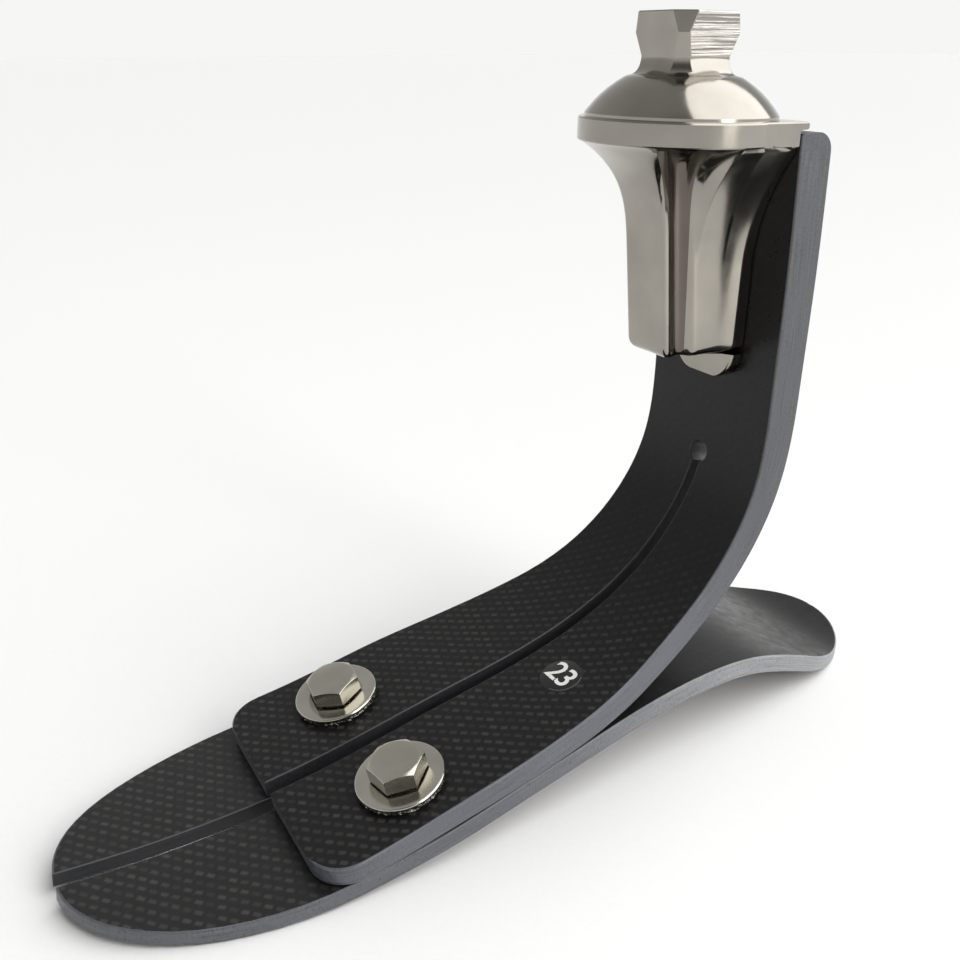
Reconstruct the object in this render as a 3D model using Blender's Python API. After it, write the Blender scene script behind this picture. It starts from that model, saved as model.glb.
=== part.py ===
"""High-ankle energy-storing prosthetic foot.

Two laminated carbon-fibre springs, bolted together at the forefoot, carry a
polished metal casting with a male pyramid.  Shapes are drawn in millimetres in
the foot's drawing frame: -Y is the toe, +Z is up, the floor is Z = 0, and the
pyramid's axis crosses Y = 0 at the height of the casting's flange.  One empty
moves that frame so that the origin is the bottom centre of the whole foot.
"""
import math

import bmesh
import bpy
import numpy as np
from mathutils import Matrix, Vector

MM = 0.001
GAP = 0.3

# Upper spring (J-shaped): points of its front face, from the ankle end to the forefoot end.
ANKLE_FACE = [(16.4, 151.7), (17.2, 118.0), (16.9, 92.0), (14.4, 66.5), (0.0, 43.7),
              (-31.5, 25.8), (-70.0, 17.1), (-97.7, 11.5), (-111.8, 9.6)]
ANKLE_THICK = [(0.0, 9.9), (0.3, 9.5), (0.5, 8.0), (0.75, 6.2), (1.0, 4.8)]
ANKLE_HALF_WIDTH = [(0.0, 22.2), (0.36, 22.2), (0.46, 23.2), (0.56, 25.4), (0.66, 30.4), (0.78, 33.3),
                    (1.0, 34.4)]
ANKLE_TOP_ROUND = 4.5
FOREFOOT_CORNER = 9.5

# Full-length sole spring: points of its top face, from the toe to the heel.
SOLE_FACE = [(-160.0, 5.6), (-140.0, 4.1), (-122.0, 4.1), (-104.0, 5.2), (-83.0, 8.35), (-61.0, 12.3),
             (-40.0, 15.8), (-20.0, 18.5), (0.0, 19.7), (18.0, 17.8), (34.0, 12.4), (48.0, 6.5),
             (59.0, 4.1), (69.5, 4.9)]
SOLE_THICK = [(0.0, 3.6), (0.15, 4.0), (0.3, 4.5), (0.6, 5.4), (0.85, 5.2), (1.0, 3.6)]
SOLE_HALF_WIDTH = [(-104.0, 33.6), (-80.0, 34.0), (-50.0, 32.0), (-20.0, 29.4),
                   (10.0, 28.0), (32.0, 27.2), (48.0, 25.4)]
TOE_ROUND_FROM = -104.0
TOE_ROUND_POWER = 0.92
HEEL_ROUND_FROM = 40.0

SLOT_WIDTH = 4.2
RELIEF_HOLE_RADIUS = 3.0
ANKLE_SLOT_END_Z = 68.9
SOLE_SLOT_END_Y = -22.0
EDGE_ROUND = 0.5
# Halfway between the lowest edges of the toe tip and the heel tip.
MIDDLE_Y = -45.135

# Fasteners: M8 hex bolts, large washers and flanged sleeve nuts.
BOLT_X = 18.6
BOLT_Y = -85.6
HEX_FLATS = 12.0
HEX_HEIGHT = 4.5
SHANK_RADIUS = 3.85
WASHER_RADIUS = 10.7
WASHER_BORE_RADIUS = 4.25
WASHER_THICK = 1.0
REAR_WASHER_THICK = 1.4
UNDER_WASHER_THICK = 0.9
UNDER_WASHER_RADIUS = 10.5
SLEEVE_RADIUS = 5.2
SLEEVE_BORE_RADIUS = 4.15
SLEEVE_FLANGE_RADIUS = 8.6
SLEEVE_FLANGE_THICK = 1.5

# Pyramid casting.
LEAN = math.radians(1.2)
LEAN_Z = 148.5
LIP_BOTTOM_Z = 153.0
PYRAMID_SIDE = 19.2
PYRAMID_TOP_Z = 176.6
PYRAMID_SHOULDER_Z = 172.2
PYRAMID_WAIST_Z = 167.5
PYRAMID_TAPER = 0.17
PYRAMID_TOP_CORNER = 3.8
PYRAMID_SHOULDER_CORNER = 1.65
PYRAMID_WAIST_CORNER = 2.4
FLANGE_RADIUS = 23.4
FLANGE_TOP_Z = 154.6
FLANGE_BOTTOM_Z = 149.4
DOME_RADIUS = 22.0
DOME_CENTRE_Z = 139.4
DOME_SPHERE_RADIUS = 27.2
FLARE_START_Z = 120.5
BLOCK_HALF_WIDTH = 21.8
BLOCK_BACK_Y = 19.5
BODY_BOTTOM_Z = 99.2
TONGUE_BOTTOM_Z = 91.7
TONGUE_HALF_WIDTH = 10.6
TONGUE_THICK = 3.4
TONGUE_CORNER = 7.4
ANKLE_BOLT_Z = (112.0, 136.0)

LABEL_RADIUS = 5.6
LABEL_X = 14.6
LABEL_Y = -38.2
LABEL_THICK = 0.3


def clear_scene():
    for obj in list(bpy.data.objects):
        bpy.data.objects.remove(obj, do_unlink=True)


def make_material(name, colour, roughness, metallic):
    material = bpy.data.materials.new(name)
    material.use_nodes = True
    shader = material.node_tree.nodes["Principled BSDF"]
    shader.inputs["Base Color"].default_value = (*colour, 1.0)
    shader.inputs["Roughness"].default_value = roughness
    shader.inputs["Metallic"].default_value = metallic
    return material


# ---------------------------------------------------------------- curves

def spline_through(points):
    """Natural cubic spline through 2-D points; returns a function of 0..1 along its chord length."""
    pts = np.array(points, float)
    knots = np.concatenate([[0.0], np.cumsum(np.hypot(*np.diff(pts, axis=0).T))])
    gaps = np.diff(knots)
    count = len(pts)
    system = np.eye(count)
    right = np.zeros_like(pts)
    for i in range(1, count - 1):
        system[i, i - 1:i + 2] = gaps[i - 1], 2 * (gaps[i - 1] + gaps[i]), gaps[i]
        right[i] = 6 * ((pts[i + 1] - pts[i]) / gaps[i] - (pts[i] - pts[i - 1]) / gaps[i - 1])
    bend = np.linalg.solve(system, right)

    def at(u):
        s = u * knots[-1]
        i = int(np.clip(np.searchsorted(knots, s) - 1, 0, count - 2))
        h = gaps[i]
        a = (knots[i + 1] - s) / h
        b = (s - knots[i]) / h
        pos = a * pts[i] + b * pts[i + 1] + ((a ** 3 - a) * bend[i] + (b ** 3 - b) * bend[i + 1]) * h * h / 6
        slope = (pts[i + 1] - pts[i]) / h
        slope = slope + ((3 * b * b - 1) * bend[i + 1] - (3 * a * a - 1) * bend[i]) * h / 6
        return pos, slope / np.linalg.norm(slope), knots[-1]

    return at


def table_value(table, u):
    return float(np.interp(u, [row[0] for row in table], [row[1] for row in table]))


def solve_station(curve, axis, value):
    """Station 0..1 where the curve's coordinate (0 = Y, 1 = Z) takes a value, by a fine search."""
    stations = np.linspace(0, 1, 4001)
    return float(min(stations, key=lambda u: abs(curve(u)[0][axis] - value)))


# ---------------------------------------------------------------- mesh tools

def add_object(name, mesh, material, parent):
    obj = bpy.data.objects.new(name, mesh)
    bpy.context.scene.collection.objects.link(obj)
    if material:
        mesh.materials.append(material)
    obj.parent = parent
    return obj


def loft(name, rings, material, parent, closed=False):
    """Skin equal-sized rings of millimetre points; open stacks get a cap at each end."""
    mesh = bpy.data.meshes.new(name)
    bm = bmesh.new()
    loops = [[bm.verts.new(Vector(p) * MM) for p in ring] for ring in rings]
    pairs = list(zip(loops, loops[1:]))
    if closed:
        pairs.append((loops[-1], loops[0]))
    size = len(loops[0])
    for low, high in pairs:
        for i in range(size):
            j = (i + 1) % size
            bm.faces.new((low[i], low[j], high[j], high[i]))
    if not closed:
        bm.faces.new(loops[0][::-1])
        bm.faces.new(loops[-1])
    bmesh.ops.recalc_face_normals(bm, faces=bm.faces)
    bm.to_mesh(mesh)
    bm.free()
    mesh.shade_smooth()
    mesh.set_sharp_from_angle(angle=math.radians(35))
    return add_object(name, mesh, material, parent)


def ring_at(radius, z, segments):
    turn = 2 * math.pi / segments
    return [(radius * math.cos(i * turn), radius * math.sin(i * turn), z) for i in range(segments)]


def turned(name, profile, material, parent, segments=36):
    """Ring-shaped solid with a through bore: (radius, z) profile points turned about Z."""
    return loft(name, [ring_at(r, z, segments) for r, z in profile], material, parent, closed=True)


def cylinder_cutter(name, radius, low, high, place, parent, segments=32):
    cutter = loft(name, [ring_at(radius, low, segments), ring_at(radius, high, segments)], None, parent)
    cutter.matrix_local = place
    return hide_cutter(cutter)


def hide_cutter(cutter):
    cutter.hide_render = True
    cutter.display_type = "WIRE"
    return cutter


def boolean(obj, other, operation="DIFFERENCE"):
    modifier = obj.modifiers.new(operation.title() + "_" + other.name, "BOOLEAN")
    modifier.operation = operation
    modifier.object = other
    hide_cutter(other)


def frame_from(origin, axis):
    """Matrix whose +Z runs along axis and whose +X stays level; origin in millimetres."""
    z = Vector(axis).normalized()
    x = Vector((1, 0, 0)) if abs(z.x) < 0.9 else Vector((0, 1, 0))
    y = z.cross(x).normalized()
    x = y.cross(z)
    turn = Matrix((x, y, z)).transposed().to_4x4()
    return Matrix.Translation(Vector(origin) * MM) @ turn


# ---------------------------------------------------------------- carbon springs

def plate_ring(pos, normal, half_width, drop, thick):
    """Rectangular section with softened edges, across a spring at one station."""
    e = min(EDGE_ROUND, half_width * 0.4)
    corners = ((1, 0), (1, 1), (-1, 1), (-1, 0))
    ring = []
    for side, low in corners:
        sweep = ((0, e), (0.3 * e, 0.3 * e), (e, 0))
        order = sweep[::-1] if side * (1 - 2 * low) > 0 else sweep
        for inward, deep in order:
            x = side * (half_width - inward)
            depth = drop + (thick - deep if low else deep)
            ring.append((x, pos[0] - normal[0] * depth, pos[1] - normal[1] * depth))
    return ring


def face_normal(tangent, up_hint):
    normal = np.array([tangent[1], -tangent[0]])
    return normal if normal @ np.array(up_hint) > 0 else -normal


def end_spaced(count, fine_start, fine_end):
    """Stations 0..1 that crowd towards the ends, where the outline turns fastest."""
    u = np.linspace(0, 1, count)
    v = 0.5 - 0.5 * np.cos(math.pi * u)
    start = fine_start * (1 - u) + fine_end * u
    return u * (1 - start) + v * start


ankle_curve = spline_through(ANKLE_FACE)
sole_curve = spline_through(SOLE_FACE)


def ankle_station(u):
    pos, tangent, length = ankle_curve(u)
    normal = face_normal(tangent, (-0.4, 1.0))
    half = table_value(ANKLE_HALF_WIDTH, u)
    thick = table_value(ANKLE_THICK, u)
    from_front = (1 - u) * length
    if from_front < FOREFOOT_CORNER:
        left = FOREFOOT_CORNER - from_front
        half -= FOREFOOT_CORNER - math.sqrt(FOREFOOT_CORNER ** 2 - left ** 2)
    from_top = u * length
    if from_top < ANKLE_TOP_ROUND:
        left = ANKLE_TOP_ROUND - from_top
        thick -= ANKLE_TOP_ROUND - math.sqrt(ANKLE_TOP_ROUND ** 2 - left ** 2)
    return pos, normal, half, thick


def ankle_spring(material, parent):
    rings = []
    for u in end_spaced(56, 0.9, 0.9):
        pos, normal, half, thick = ankle_station(u)
        rings.append(plate_ring(pos, normal, half, 0.0, thick))
    spring = loft("ankle_spring", rings, material, parent)
    slot_from = solve_station(ankle_curve, 1, ANKLE_SLOT_END_Z)
    cut_slot(spring, ankle_curve, (-0.4, 1.0), slot_from, 1.0, 10.0, parent)
    pos, tangent, _ = ankle_curve(slot_from)
    normal = face_normal(tangent, (-0.4, 1.0))
    place = frame_from((0, *pos), (0, *normal))
    boolean(spring, cylinder_cutter("ankle_relief_cutter", RELIEF_HOLE_RADIUS, -16, 8, place, parent))
    for x in (BOLT_X, -BOLT_X):
        radius = SLEEVE_RADIUS + GAP
        place = forefoot_frame(x)
        boolean(spring, cylinder_cutter("ankle_bolt_cutter", radius, -9, 4, place, parent))
    for z in ANKLE_BOLT_Z:
        place = ankle_bolt_frame(z)
        boolean(spring, cylinder_cutter("ankle_rear_cutter", SHANK_RADIUS + GAP, -20, 6, place, parent))
    return spring


def cut_slot(spring, curve, up_hint, start, stop, past, parent):
    """Slot along the spring's middle, open past its end."""
    rings = []
    for u in np.linspace(start, stop, 26):
        pos, tangent, _ = curve(u)
        normal = face_normal(tangent, up_hint)
        rings.append(slot_section(pos, normal))
    pos, tangent, _ = curve(stop)
    outward = tangent if stop > start else -tangent
    rings.append(slot_section(pos + outward * past, face_normal(tangent, up_hint)))
    boolean(spring, loft(spring.name + "_slot_cutter", rings, None, parent))


def slot_section(pos, normal):
    half = SLOT_WIDTH / 2
    above, below = pos + normal * 3, pos - normal * 13
    return [(half, *above), (half, *below), (-half, *below), (-half, *above)]


def sole_outline(y):
    """Half width of the sole spring: toe and heel are rounded, the waist is narrower."""
    toe_y, heel_y = SOLE_FACE[0][0], SOLE_FACE[-1][0]
    if y < TOE_ROUND_FROM:
        part = (TOE_ROUND_FROM - y) / (TOE_ROUND_FROM - toe_y)
        return table_value(SOLE_HALF_WIDTH, TOE_ROUND_FROM) * max(1 - part * part, 0.0) ** (TOE_ROUND_POWER / 2)
    if y > HEEL_ROUND_FROM:
        part = (y - HEEL_ROUND_FROM) / (heel_y - HEEL_ROUND_FROM)
        return table_value(SOLE_HALF_WIDTH, HEEL_ROUND_FROM) * math.sqrt(max(1 - part * part, 0.0))
    return table_value(SOLE_HALF_WIDTH, y)


def sole_station(u):
    pos, tangent, _ = sole_curve(u)
    normal = face_normal(tangent, (0.0, 1.0))
    return pos, normal, max(sole_outline(pos[0]), 1.2), table_value(SOLE_THICK, u)


def sole_spring(material, parent):
    rings = []
    for u in end_spaced(72, 1.0, 1.0):
        pos, normal, half, thick = sole_station(u)
        rings.append(plate_ring(pos, normal, half, 0.0, thick))
    spring = loft("sole_spring", rings, material, parent)
    slot_to = solve_station(sole_curve, 0, SOLE_SLOT_END_Y)
    cut_slot(spring, sole_curve, (0.0, 1.0), slot_to, 0.0, 10.0, parent)
    pos, tangent, _ = sole_curve(slot_to)
    place = frame_from((0, *pos), (0, *face_normal(tangent, (0.0, 1.0))))
    boolean(spring, cylinder_cutter("sole_relief_cutter", RELIEF_HOLE_RADIUS, -12, 6, place, parent))
    for x in (BOLT_X, -BOLT_X):
        place = forefoot_frame(x)
        boolean(spring, cylinder_cutter("sole_bolt_cutter", SLEEVE_RADIUS + GAP, -16, 0, place, parent))
        flange_top = -stack_depth() + SLEEVE_FLANGE_THICK + GAP
        boolean(spring, cylinder_cutter("sole_recess_cutter", SLEEVE_FLANGE_RADIUS + GAP,
                                        -stack_depth() - 6, flange_top, place, parent, 40))
    return spring


# ---------------------------------------------------------------- fasteners

def forefoot_frame(x):
    """Bolt axis at the forefoot: the origin lies on the upper spring's top face."""
    pos, tangent, _ = ankle_curve(solve_station(ankle_curve, 0, BOLT_Y))
    return frame_from((x, *pos), (0, *face_normal(tangent, (0.0, 1.0))))


def stack_depth():
    """Depth from the upper spring's top face to the sole spring's underside, along the bolt."""
    u = solve_station(ankle_curve, 0, BOLT_Y)
    pos, tangent, _ = ankle_curve(u)
    normal = face_normal(tangent, (0.0, 1.0))
    stations = np.linspace(0, 0.7, 1401)
    along = np.array([np.dot(sole_curve(s)[0] - pos, tangent) for s in stations])
    s = stations[int(np.argmin(abs(along)))]
    top = np.dot(pos - sole_curve(s)[0], normal)
    return top + table_value(SOLE_THICK, s)


def hex_ring(flats, z, segments=36):
    ring = []
    for i in range(segments):
        angle = 2 * math.pi * i / segments
        offset = (angle + math.pi / 6) % (math.pi / 3) - math.pi / 6
        reach = flats / 2 / math.cos(offset)
        ring.append((reach * math.cos(angle), reach * math.sin(angle), z))
    return ring


def hex_bolt(name, length, base, material, parent, place):
    """Hex head standing on height base, with a plain shank of the given length below it."""
    round_top = HEX_FLATS / 2 * 0.95
    head_top = base + HEX_HEIGHT
    rings = [ring_at(SHANK_RADIUS - 0.6, base - length, 36),
             ring_at(SHANK_RADIUS, base - length + 0.6, 36),
             ring_at(SHANK_RADIUS, base, 36),
             hex_ring(HEX_FLATS, base),
             hex_ring(HEX_FLATS, head_top - 0.7),
             ring_at(round_top, head_top, 36)]
    bolt = loft(name, rings, material, parent)
    bolt.matrix_local = place
    return bolt


def washer(name, radius, base, thick, material, parent, place):
    edge = 0.3
    profile = [(WASHER_BORE_RADIUS, base), (radius - edge, base), (radius, base + edge),
               (radius, base + thick - edge), (radius - edge, base + thick),
               (WASHER_BORE_RADIUS, base + thick)]
    ring = turned(name, profile, material, parent, 40)
    ring.matrix_local = place
    return ring


def forefoot_fasteners(steel, zinc, parent):
    low_washer = GAP
    high_washer = low_washer + UNDER_WASHER_THICK + GAP
    head = high_washer + WASHER_THICK + GAP
    depth = stack_depth()
    for side, x in (("left", BOLT_X), ("right", -BOLT_X)):
        place = forefoot_frame(x)
        washer("under_washer_" + side, UNDER_WASHER_RADIUS, low_washer, UNDER_WASHER_THICK, zinc, parent, place)
        washer("washer_" + side, WASHER_RADIUS, high_washer, WASHER_THICK, steel, parent, place)
        hex_bolt("forefoot_bolt_" + side, head + depth - 0.6, head, steel, parent, place)
        profile = [(SLEEVE_BORE_RADIUS, -depth), (SLEEVE_FLANGE_RADIUS - 0.3, -depth),
                   (SLEEVE_FLANGE_RADIUS, -depth + 0.3), (SLEEVE_FLANGE_RADIUS, -depth + SLEEVE_FLANGE_THICK),
                   (SLEEVE_RADIUS, -depth + SLEEVE_FLANGE_THICK), (SLEEVE_RADIUS, -0.8),
                   (SLEEVE_BORE_RADIUS, -0.8)]
        sleeve = turned("sleeve_nut_" + side, profile, zinc, parent, 40)
        sleeve.matrix_local = place


def ankle_bolt_frame(z):
    """Bolt axis at the ankle: the origin lies on the upper spring's rear face, +Z points rearwards."""
    u = solve_station(ankle_curve, 1, z)
    pos, tangent, _ = ankle_curve(u)
    normal = face_normal(tangent, (-1.0, 0.0))
    rear = pos - normal * table_value(ANKLE_THICK, u)
    return frame_from((0, *rear), (0, *(-normal)))


def ankle_fasteners(steel, zinc, parent):
    for label, z in zip(("lower", "upper"), ANKLE_BOLT_Z):
        place = ankle_bolt_frame(z)
        washer("rear_washer_" + label, WASHER_RADIUS, GAP, REAR_WASHER_THICK, zinc, parent, place)
        head = GAP + REAR_WASHER_THICK + GAP
        hex_bolt("rear_bolt_" + label, 22.0, head, steel, parent, place)


# ---------------------------------------------------------------- pyramid casting

HALF_POINTS = 25
FLUTE_SPAN = (0, 5, 10, 18)


def mirrored(half):
    """Full ring from a half outline that runs from the front middle to the rear middle."""
    return half + [(-x, y) for x, y in half[-2:0:-1]]


def flange_half():
    """Disc in front, straight-sided block behind."""
    meet = math.asin(math.sqrt(FLANGE_RADIUS ** 2 - BLOCK_HALF_WIDTH ** 2) / FLANGE_RADIUS)
    half = []
    for i in range(19):
        angle = math.radians(float(np.interp(i, FLUTE_SPAN, (-90.0, -50.0, -5.0, math.degrees(meet)))))
        half.append((FLANGE_RADIUS * math.cos(angle), FLANGE_RADIUS * math.sin(angle)))
    half += [(BLOCK_HALF_WIDTH, 12.0), (BLOCK_HALF_WIDTH, 15.0)]
    half += [(BLOCK_HALF_WIDTH, BLOCK_BACK_Y), (BLOCK_HALF_WIDTH * 0.66, BLOCK_BACK_Y)]
    half += [(BLOCK_HALF_WIDTH * 0.33, BLOCK_BACK_Y), (0.0, BLOCK_BACK_Y)]
    return half


def ankle_face_in_casting():
    """Heights and depths of the upper spring's front face, measured in the casting's frame."""
    lean_sin, lean_cos = math.sin(LEAN), math.cos(LEAN)
    heights, depths = [], []
    for u in np.linspace(0.45, 0, 60):
        y, z = ankle_curve(u)[0]
        heights.append(LEAN_Z + y * lean_sin + (z - LEAN_Z) * lean_cos)
        depths.append(y * lean_cos - (z - LEAN_Z) * lean_sin)
    return heights, depths


ANKLE_FACE_IN_CASTING = ankle_face_in_casting()


def rib_front(z):
    return -4.5 - 0.12 * (z - BODY_BOTTOM_Z)


def rib_half(z):
    """Front rib, shallow flute and rear wing of the casting's body, below the flare."""
    front = rib_front(z)
    guide = [(6.6, front), (7.3, front + 0.9), (6.4, front + 4.4), (8.5, front + 7.2), (9.4, front + 12.5),
             (TONGUE_HALF_WIDTH - 0.3, 13.4), (TONGUE_HALF_WIDTH, 14.4)]
    curve = spline_through(guide)
    half = [(0.0, front), (3.3, front)]
    half += [tuple(curve(u)[0]) for u in np.linspace(0, 1, 17)]
    back = body_back(z)
    wide = TONGUE_HALF_WIDTH
    half += [(wide, 0.5 * (14.4 + back)), (wide, back), (wide * 0.75, back), (wide * 0.5, back),
             (wide * 0.25, back), (0.0, back)]
    return half


def body_back(z):
    """Depth of the casting's rear face: it follows the upper spring's front face, with a gap."""
    heights, depths = ANKLE_FACE_IN_CASTING
    return float(np.interp(z, heights, depths)) - GAP


def body_half(z):
    """The body flares from the rib section to the flange's outline."""
    rib, rim = rib_half(z), flange_half()
    half = []
    for i, (low, high) in enumerate(zip(rib, rim)):
        part = flare(i, z)
        x = low[0] + (high[0] - low[0]) * part
        y = low[1] if i >= 19 else low[1] + (high[1] - low[1]) * part
        half.append((x, y))
    return half


def flare(i, z):
    """Share of the way to the flange's outline that outline point i has spread at height z."""
    marks = (0, 5, 6.5, 9, 12, 18)
    power = float(np.interp(i, marks, (4.4, 4.4, 9.0, 9.0, 2.4, 2.0)))
    reach = float(np.interp(i, marks, (29.6, 29.6, 31.0, 31.0, 29.2, 29.6)))
    return min(max(z - FLARE_START_Z, 0.0) / reach, 1.0) ** power


def shifted_back(half, back):
    """Outline with its rear corner and rear face moved to a given depth."""
    return [(x, back) if i >= 21 else (x, min(y, back)) for i, (x, y) in enumerate(half)]


def circle_half(radius):
    step = math.pi / (HALF_POINTS - 1)
    return [(radius * math.sin(i * step), -radius * math.cos(i * step)) for i in range(HALF_POINTS)]


def square_half(side, corner):
    """Square with cut corners, in polar form."""
    half = []
    for i in range(HALF_POINTS):
        angle = math.pi * i / (HALF_POINTS - 1)
        x, y = math.sin(angle), -math.cos(angle)
        reach = min(side / 2 / max(abs(x), abs(y)), (side - corner) / (abs(x) + abs(y)))
        half.append((reach * x, reach * y))
    return half


def casting_rings():
    """Stack of outlines from the underside of the body up to the pyramid's top."""
    rings = []

    def add(half, z):
        rings.append([(x, y, z) for x, y in mirrored(half)])

    for rise in (0.0, 0.4, 1.4, 2.9, 4.9, 7.2):
        z = TONGUE_BOTTOM_Z + rise
        add(tongue_half(z), z)
    soft = [(x * 0.9, y + 0.6) if i < 18 else (x, y) for i, (x, y) in enumerate(rib_half(BODY_BOTTOM_Z))]
    add(soft, BODY_BOTTOM_Z)
    for z in (BODY_BOTTOM_Z + 1.2, 107, 114, 120, 125, 129.5, 133.5, 137, 140, 143, 145.5, 147.8):
        add(body_half(z), z)
    rim = flange_half()
    add(shifted_back(rim, body_back(FLANGE_BOTTOM_Z)), FLANGE_BOTTOM_Z)
    add(shifted_back(rim, body_back(151.0)), LIP_BOTTOM_Z - 0.3)
    add(rim, LIP_BOTTOM_Z)
    add(rim, FLANGE_TOP_Z - 0.4)
    add([(x * 0.985, y * 0.985) for x, y in rim], FLANGE_TOP_Z)
    add(circle_half(DOME_RADIUS), FLANGE_TOP_Z)
    for radius in (DOME_RADIUS, 21.0, 19.6, 17.6, 15.2, 12.6):
        add(circle_half(radius), DOME_CENTRE_Z + math.sqrt(DOME_SPHERE_RADIUS ** 2 - radius ** 2))
    waist = PYRAMID_SIDE - 2 * PYRAMID_TAPER * (PYRAMID_TOP_Z - PYRAMID_WAIST_Z)
    shoulder = PYRAMID_SIDE - 2 * PYRAMID_TAPER * (PYRAMID_TOP_Z - PYRAMID_SHOULDER_Z)
    add(square_half(waist + 2.6, 4.0), PYRAMID_WAIST_Z - 2.6)
    add(square_half(waist + 0.6, 2.8), PYRAMID_WAIST_Z - 1.2)
    add(square_half(waist, PYRAMID_WAIST_CORNER), PYRAMID_WAIST_Z)
    add(square_half(shoulder, PYRAMID_SHOULDER_CORNER), PYRAMID_SHOULDER_Z)
    add(square_half(PYRAMID_SIDE, PYRAMID_TOP_CORNER), PYRAMID_TOP_Z - 0.3)
    add(square_half(PYRAMID_SIDE - 0.5, PYRAMID_TOP_CORNER), PYRAMID_TOP_Z)
    return rings


def tongue_half(z):
    """Thin plate below the casting's body, flat on the spring, with round lower corners."""
    wide = TONGUE_HALF_WIDTH
    left = min(TONGUE_BOTTOM_Z + TONGUE_CORNER - z, TONGUE_CORNER)
    if left > 0:
        wide -= TONGUE_CORNER - math.sqrt(TONGUE_CORNER ** 2 - left ** 2)
    back = body_back(z)
    front = back - TONGUE_THICK + (0.9 if z == TONGUE_BOTTOM_Z else 0.0)
    half = [(wide * i / 18, front) for i in range(18)]
    half += [(wide, front + 0.5), (wide, 0.5 * (front + back)), (wide, back), (wide * 0.75, back)]
    half += [(wide * 0.5, back), (wide * 0.25, back), (0.0, back)]
    return half


def pyramid_adapter(material, parent):
    adapter = loft("pyramid_adapter", casting_rings(), material, parent)
    centre = Vector((0, 0, LEAN_Z)) * MM
    turn = Matrix.Rotation(-LEAN, 4, "X")
    adapter.matrix_local = Matrix.Translation(centre) @ turn @ Matrix.Translation(-centre)
    for z in ANKLE_BOLT_Z:
        place = ankle_bolt_frame(z)
        boolean(adapter, cylinder_cutter("adapter_thread_cutter", SLEEVE_BORE_RADIUS, -26, 2, place, parent))
    return adapter


# ---------------------------------------------------------------- size label

def size_label(material, parent):
    pos, tangent, _ = ankle_curve(solve_station(ankle_curve, 0, LABEL_Y))
    place = frame_from((LABEL_X, *pos), (0, *face_normal(tangent, (0.0, 1.0))))
    rings = [ring_at(LABEL_RADIUS, GAP, 40), ring_at(LABEL_RADIUS, GAP + LABEL_THICK, 40)]
    label = loft("size_label", rings, material, parent)
    label.matrix_local = place


def main():
    clear_scene()
    frame = bpy.data.objects.new("foot_frame", None)
    bpy.context.scene.collection.objects.link(frame)
    frame.location = (0, -MIDDLE_Y * MM, 0)
    carbon = make_material("carbon", (0.02, 0.02, 0.021), 0.35, 0.0)
    steel = make_material("polished_steel", (0.62, 0.6, 0.56), 0.12, 1.0)
    zinc = make_material("plain_steel", (0.5, 0.49, 0.46), 0.35, 1.0)
    film = make_material("label_film", (0.03, 0.03, 0.03), 0.4, 0.0)
    ankle_spring(carbon, frame)
    sole_spring(carbon, frame)
    pyramid_adapter(steel, frame)
    forefoot_fasteners(steel, zinc, frame)
    ankle_fasteners(steel, zinc, frame)
    size_label(film, frame)


main()
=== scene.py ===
"""Looks of the carbon-fibre prosthetic foot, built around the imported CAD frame.

Drawing coordinates are millimetres: -Y is the toe, +Z is up, the floor is Z = 0 and Y = 0 is
under the casting.  world() turns them into the row frame in metres.
"""

import math

import bmesh
import bpy
import numpy as np
from mathutils import Matrix, Vector

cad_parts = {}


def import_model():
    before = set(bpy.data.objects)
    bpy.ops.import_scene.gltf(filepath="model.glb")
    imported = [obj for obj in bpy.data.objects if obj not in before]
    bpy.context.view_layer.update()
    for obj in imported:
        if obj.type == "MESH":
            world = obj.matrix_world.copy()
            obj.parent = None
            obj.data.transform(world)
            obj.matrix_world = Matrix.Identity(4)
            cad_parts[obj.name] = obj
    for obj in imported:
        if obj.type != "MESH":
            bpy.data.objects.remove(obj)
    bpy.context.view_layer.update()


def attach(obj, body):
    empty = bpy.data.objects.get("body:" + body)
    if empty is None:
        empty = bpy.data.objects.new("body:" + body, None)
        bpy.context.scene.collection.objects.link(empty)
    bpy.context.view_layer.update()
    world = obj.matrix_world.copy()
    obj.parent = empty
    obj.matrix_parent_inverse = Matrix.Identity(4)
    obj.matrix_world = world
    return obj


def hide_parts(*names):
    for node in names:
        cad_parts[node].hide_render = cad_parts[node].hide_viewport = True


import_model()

MM = 0.001
MIDDLE_Y = -45.135

# ---------------------------------------------------------------- camera

CAMERA_MM = (187.4, -163.75, 170.8)
AZIMUTH = math.radians(59.51)
PITCH = math.radians(23.62)
ROLL = math.radians(-0.13)
LENS_MM = 37.69
SENSOR_MM = 36.0


def world(x, y, z):
    return Vector((x * MM, (y - MIDDLE_Y) * MM, z * MM))


def add_camera():
    level_part = math.cos(PITCH)
    back = Vector((math.sin(AZIMUTH) * level_part, -math.cos(AZIMUTH) * level_part, math.sin(PITCH)))
    level = Vector((math.cos(AZIMUTH), math.sin(AZIMUTH), 0.0))
    upright = back.cross(level)
    right = level * math.cos(ROLL) + upright * math.sin(ROLL)
    up = upright * math.cos(ROLL) - level * math.sin(ROLL)
    data = bpy.data.cameras.new("camera")
    data.lens = LENS_MM
    data.sensor_width = SENSOR_MM
    data.clip_start = 0.01
    camera = bpy.data.objects.new("camera", data)
    bpy.context.scene.collection.objects.link(camera)
    turn = Matrix((right, up, back)).transposed().to_4x4()
    camera.matrix_world = Matrix.Translation(world(*CAMERA_MM)) @ turn
    bpy.context.scene.camera = camera


# ---------------------------------------------------------------- curves shared with the CAD part

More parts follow.
